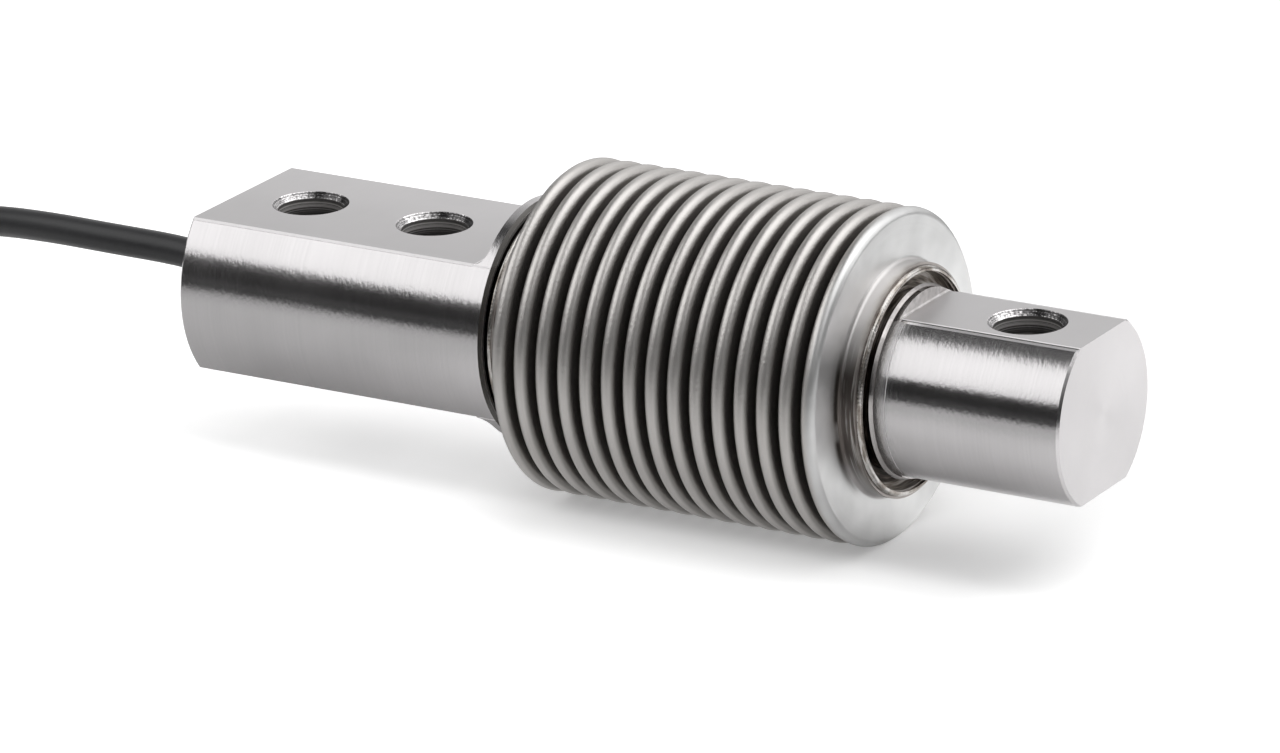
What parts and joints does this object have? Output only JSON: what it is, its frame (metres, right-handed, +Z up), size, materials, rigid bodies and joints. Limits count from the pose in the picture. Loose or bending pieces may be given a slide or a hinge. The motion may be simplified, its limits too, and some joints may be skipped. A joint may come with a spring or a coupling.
{
  "type": "strain gauge load cell",
  "caption": "Bending beam load cell sealed by a welded metal bellows, with flats and vertical holes at both ends and a cable out of the end face.",
  "frame": {"origin": "middle of the cell's length, on the surface that the bellows lies on, straight below the cell's axis", "axes": "+X along the cell's axis from the cable side to the load side, +Z up, square to the flats, +Y to complete the frame"},
  "size_m": [0.3229, 0.041, 0.041],
  "materials": {
    "steel": "turned and milled stainless steel",
    "bellows_steel": "satin formed stainless steel",
    "weld": "rippled weld bead with heat tint",
    "cap_steel": "turned stainless steel",
    "gauge": "amber polyimide with etched foil",
    "adhesive": "cured adhesive",
    "board": "green laminate",
    "chip": "coated ceramic chip",
    "solder": "bright solder",
    "copper": "enamelled copper wire",
    "potting": "black cast resin",
    "bush_rubber": "moulded rubber",
    "cable_jacket": "satin black jacket",
    "tie": "black nylon",
    "sleeve": "shrink sleeve",
    "shield": "yellow sleeve over the shield",
    "wire_green": "insulated wire",
    "wire_black": "insulated wire",
    "wire_blue": "insulated wire",
    "wire_white": "insulated wire",
    "wire_red": "insulated wire",
    "wire_grey": "insulated wire"
  },
  "bodies": {
    "root": {"spring_body": "steel", "bellows": "bellows_steel", "weld_seam_mount": "weld", "weld_seam_load": "weld", "gauge_top_mount": "gauge", "gauge_top_load": "gauge", "gauge_bottom_mount": "gauge", "gauge_bottom_load": "gauge", "board_bond": "adhesive", "terminal_board": "board", "trim_resistors": "chip", "solder_joints": "solder", "gauge_leads": "copper", "inner_wire_1": "wire_green", "inner_wire_2": "wire_black", "inner_wire_3": "wire_blue", "inner_wire_4": "wire_white", "inner_wire_5": "wire_red", "inner_wire_6": "wire_grey", "entry_cap": "cap_steel", "cable_bush": "bush_rubber", "entry_potting": "potting", "cable": "cable_jacket", "cable_tail": "cable_jacket", "cable_hank": "cable_jacket", "hank_tie_far_side": "tie", "hank_tie_near_side": "tie", "jacket_sleeve": "sleeve", "lead_green": "wire_green", "lead_black": "wire_black", "lead_blue": "wire_blue", "lead_white": "wire_white", "lead_red": "wire_red", "lead_grey": "wire_grey", "shield_lead": "shield", "tinned_ends": "solder"}
  },
  "joints": []
}
